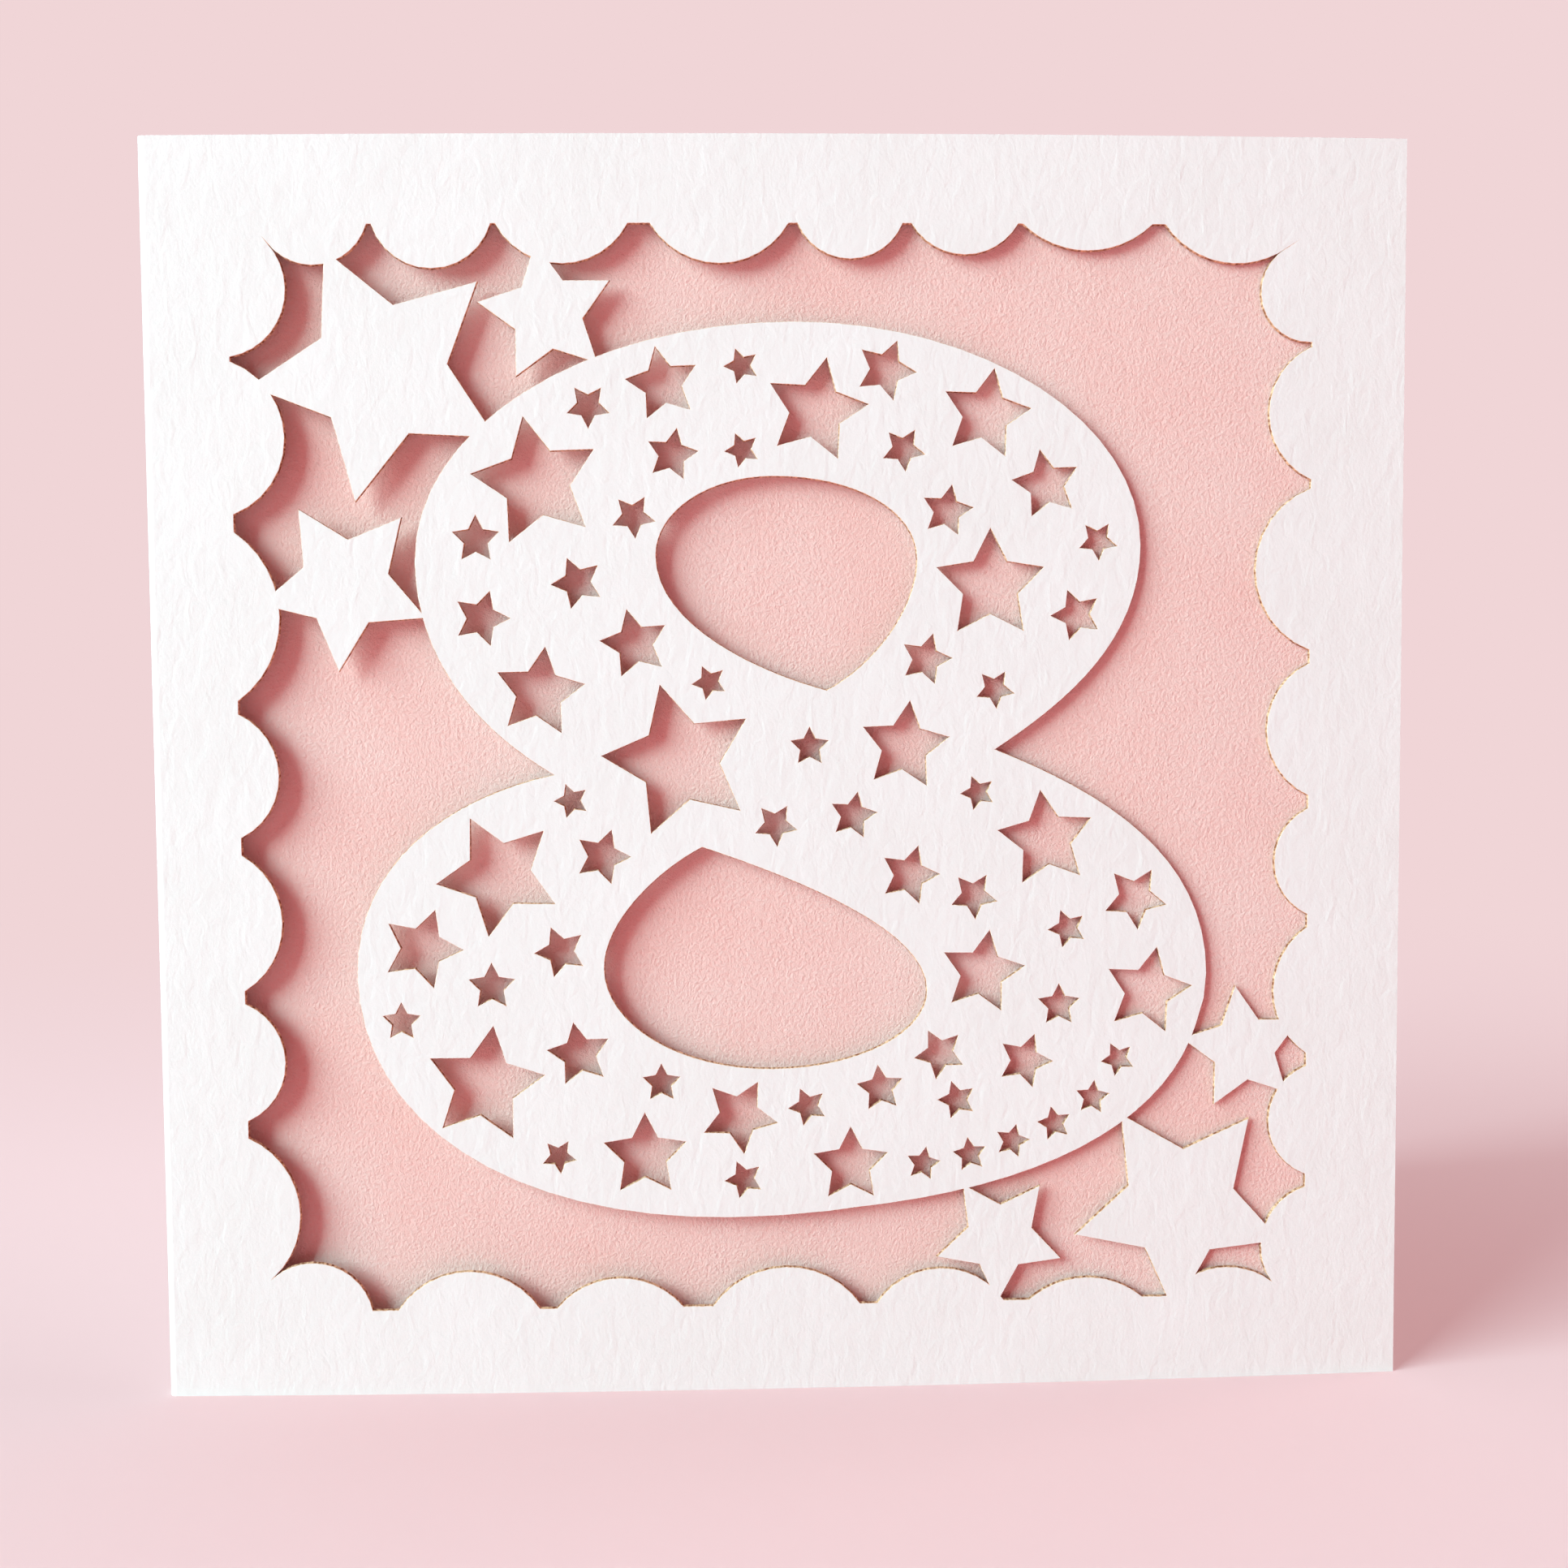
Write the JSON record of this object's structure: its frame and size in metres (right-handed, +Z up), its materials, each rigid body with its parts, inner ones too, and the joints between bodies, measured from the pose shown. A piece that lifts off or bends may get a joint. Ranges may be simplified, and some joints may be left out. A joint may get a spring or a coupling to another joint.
{
  "type": "birthday card",
  "caption": "Square folded greeting card standing open, with a scalloped laser-cut window, a star-pierced numeral held by solid stars, and a blush backing sheet behind it.",
  "frame": {"origin": "middle of the front leaf's lower edge, on the surface that the card stands on", "axes": "+X along the front leaf away from the fold, +Y back from the front leaf's face, +Z up"},
  "size_m": [0.145, 0.0736, 0.145],
  "materials": {
    "white_card": "uncoated felt-marked card stock",
    "blush_paper": "uncoated fine-grained paper"
  },
  "bodies": {
    "root": {"folded_card": "white_card", "backing_sheet": "blush_paper"}
  },
  "joints": []
}
